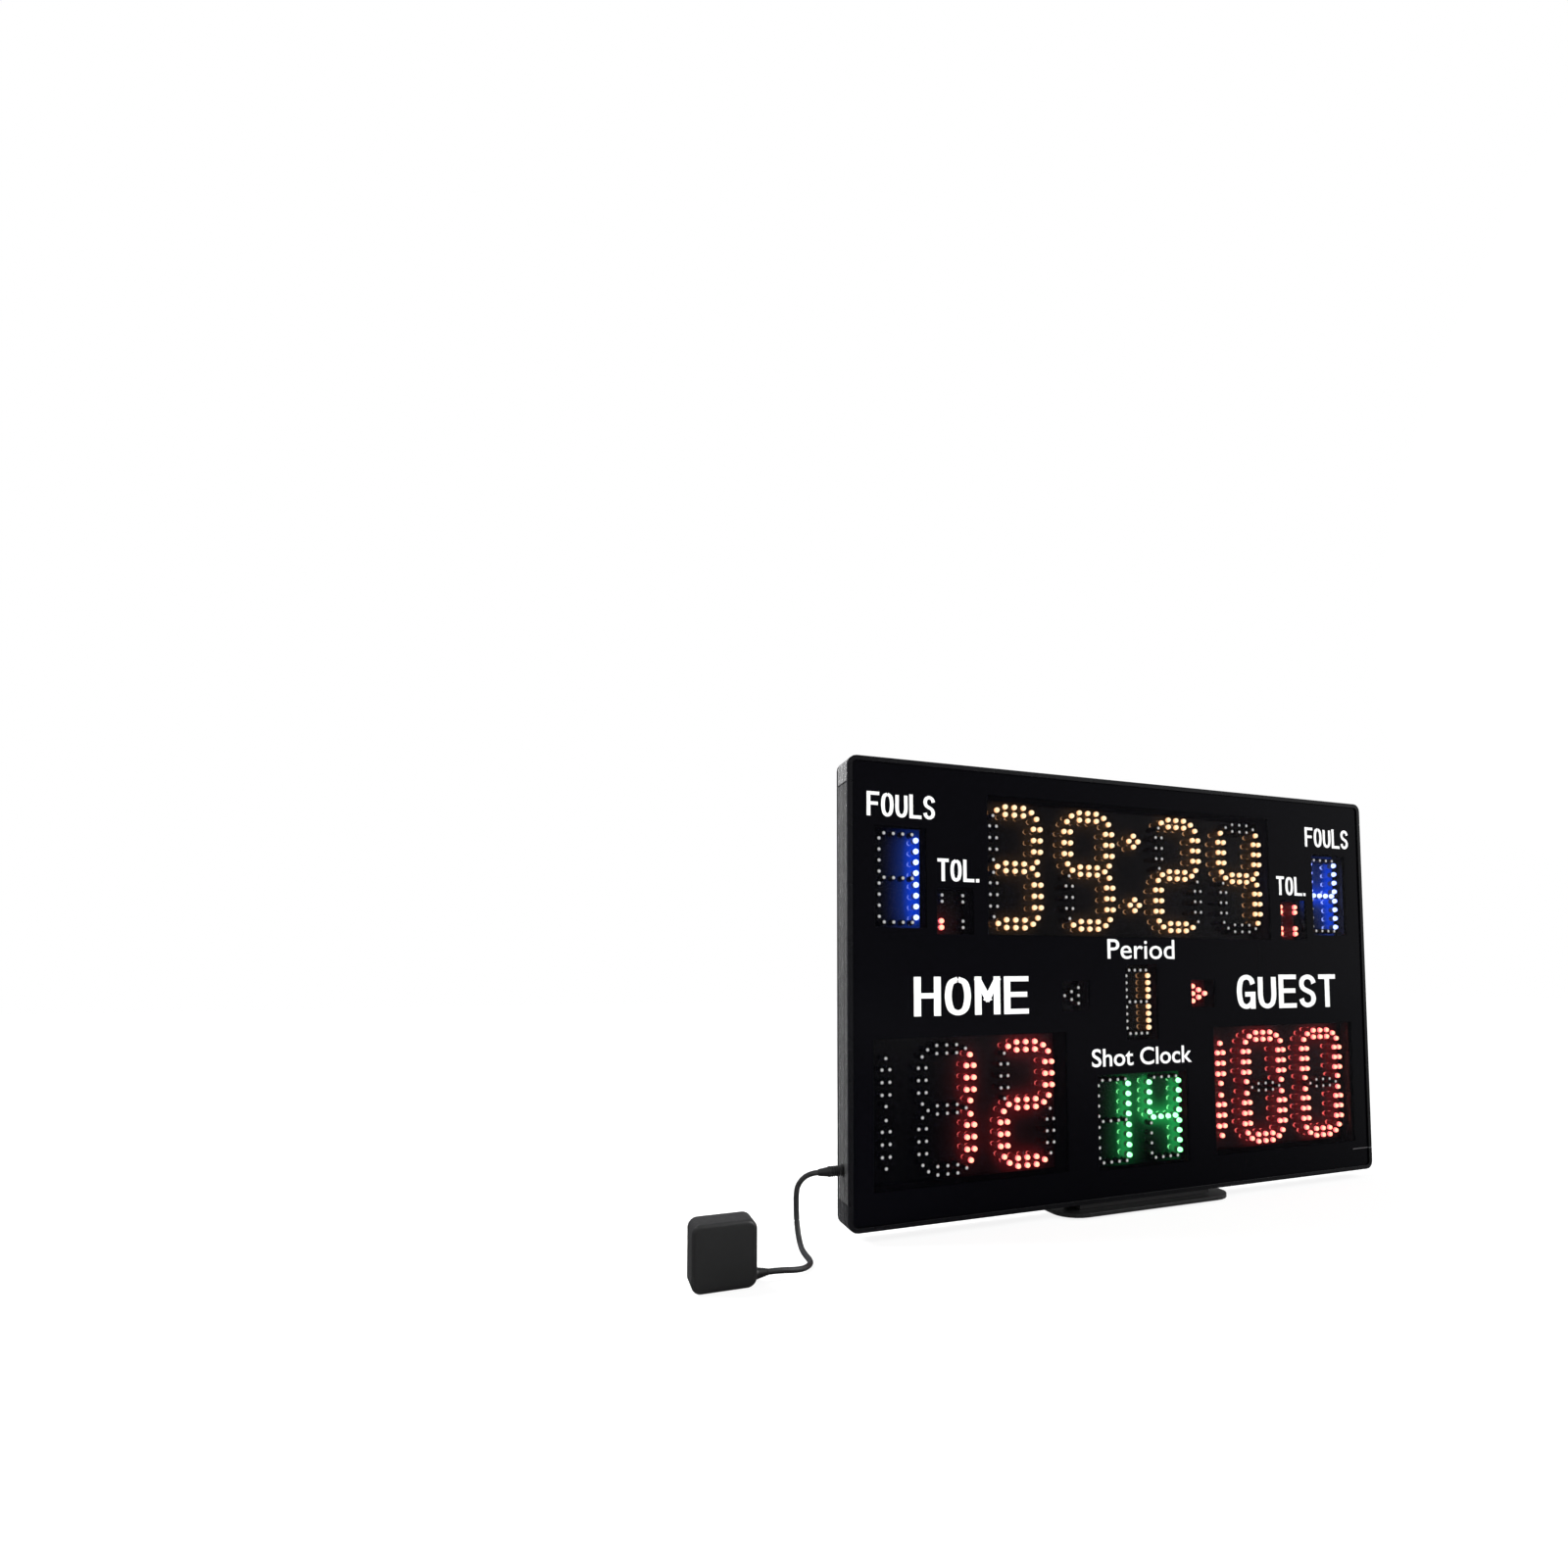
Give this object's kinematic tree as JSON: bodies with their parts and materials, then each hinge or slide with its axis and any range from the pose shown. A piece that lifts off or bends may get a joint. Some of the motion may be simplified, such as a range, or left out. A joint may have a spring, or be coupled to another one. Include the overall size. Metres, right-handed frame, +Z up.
{
  "type": "electronic scoreboard",
  "caption": "Flat LED sports scoreboard in a slim silver frame on a table foot, with a louvred control housing and keyholes on the back and a short supply lead.",
  "frame": {"origin": "middle of the footprint of the board and its foot, on the table, at the underside of the rubber strips", "axes": "+X to the viewer's right along the display, +Y from the display to the back, +Z up"},
  "size_m": [0.7308, 0.1409, 0.4096],
  "materials": {
    "smoked_acrylic": "polished, dark tint",
    "aluminium": "satin anodised",
    "silver_plastic": "silver paint, satin",
    "lamp_board": "black solder mask",
    "green_board": "green solder mask",
    "painted_panel": "fine black texture",
    "housing_plastic": "fine grain",
    "black_plastic": "satin",
    "lead_jacket": "smooth",
    "battery_wrap": "shrink wrap",
    "black_steel": "satin powder coat",
    "rubber": "matt",
    "black_screw": "black zinc"
  },
  "bodies": {
    "board": {"battery_pack": "battery_wrap", "bottom_rail": "aluminium", "clock_board": "lamp_board", "control_board": "green_board", "control_housing": "housing_plastic", "corner_cap_bottom_left": "silver_plastic", "corner_cap_bottom_right": "silver_plastic", "corner_cap_top_left": "silver_plastic", "corner_cap_top_right": "silver_plastic", "foot_plate": "black_steel", "foot_riser": "black_steel", "foot_screw_1": "black_screw", "foot_screw_2": "black_screw", "front_window": "smoked_acrylic", "guest_fouls_board": "lamp_board", "guest_possession_board": "lamp_board", "guest_score_board": "lamp_board", "guest_timeouts_board": "lamp_board", "home_fouls_board": "lamp_board", "home_possession_board": "lamp_board", "home_score_board": "lamp_board", "home_timeouts_board": "lamp_board", "horn": "black_plastic", "housing_screw_1": "black_screw", "housing_screw_2": "black_screw", "housing_screw_3": "black_screw", "housing_screw_4": "black_screw", "lead_plug": "black_plastic", "left_rail": "aluminium", "left_rubber_strip": "rubber", "panel_screw_1": "black_screw", "panel_screw_10": "black_screw", "panel_screw_11": "black_screw", "panel_screw_12": "black_screw", "panel_screw_13": "black_screw", "panel_screw_14": "black_screw", "panel_screw_15": "black_screw", "panel_screw_16": "black_screw", "panel_screw_2": "black_screw", "panel_screw_3": "black_screw", "panel_screw_4": "black_screw", "panel_screw_5": "black_screw", "panel_screw_6": "black_screw", "panel_screw_7": "black_screw", "panel_screw_8": "black_screw", "panel_screw_9": "black_screw", "period_board": "lamp_board", "rear_panel": "painted_panel", "right_rail": "aluminium", "right_rubber_strip": "rubber", "shot_clock_board": "lamp_board", "supply_adaptor": "black_plastic", "supply_inlet": "black_plastic", "supply_lead": "lead_jacket", "top_rail": "aluminium"},
    "battery_cover": {"battery_cover": "housing_plastic"},
    "cover_latch": {"cover_latch": "housing_plastic"},
    "power_button": {"power_button": "black_plastic"},
    "setting_button": {"setting_button": "black_plastic"}
  },
  "joints": [
    {"name": "cover_lift", "type": "slide", "parent": "board", "child": "battery_cover", "axis": [0, 1, 0], "range_m": [0, 0.04]},
    {"name": "latch_press", "type": "hinge", "parent": "battery_cover", "child": "cover_latch", "pos_m": [-0.0198, 0.0189, 0.2628], "axis": [1, 0, 0], "range_deg": [0, 12], "stiffness_Nm_per_rad": 0.3, "springref_deg": -2.86},
    {"name": "power_press", "type": "slide", "parent": "board", "child": "power_button", "axis": [0, 0, -1], "range_m": [0, 0.0015], "stiffness_N_per_m": 500, "springref_m": -0.001},
    {"name": "setting_press", "type": "slide", "parent": "board", "child": "setting_button", "axis": [0, -1, 0], "range_m": [0, 0.0012], "stiffness_N_per_m": 500, "springref_m": -0.001}
  ]
}
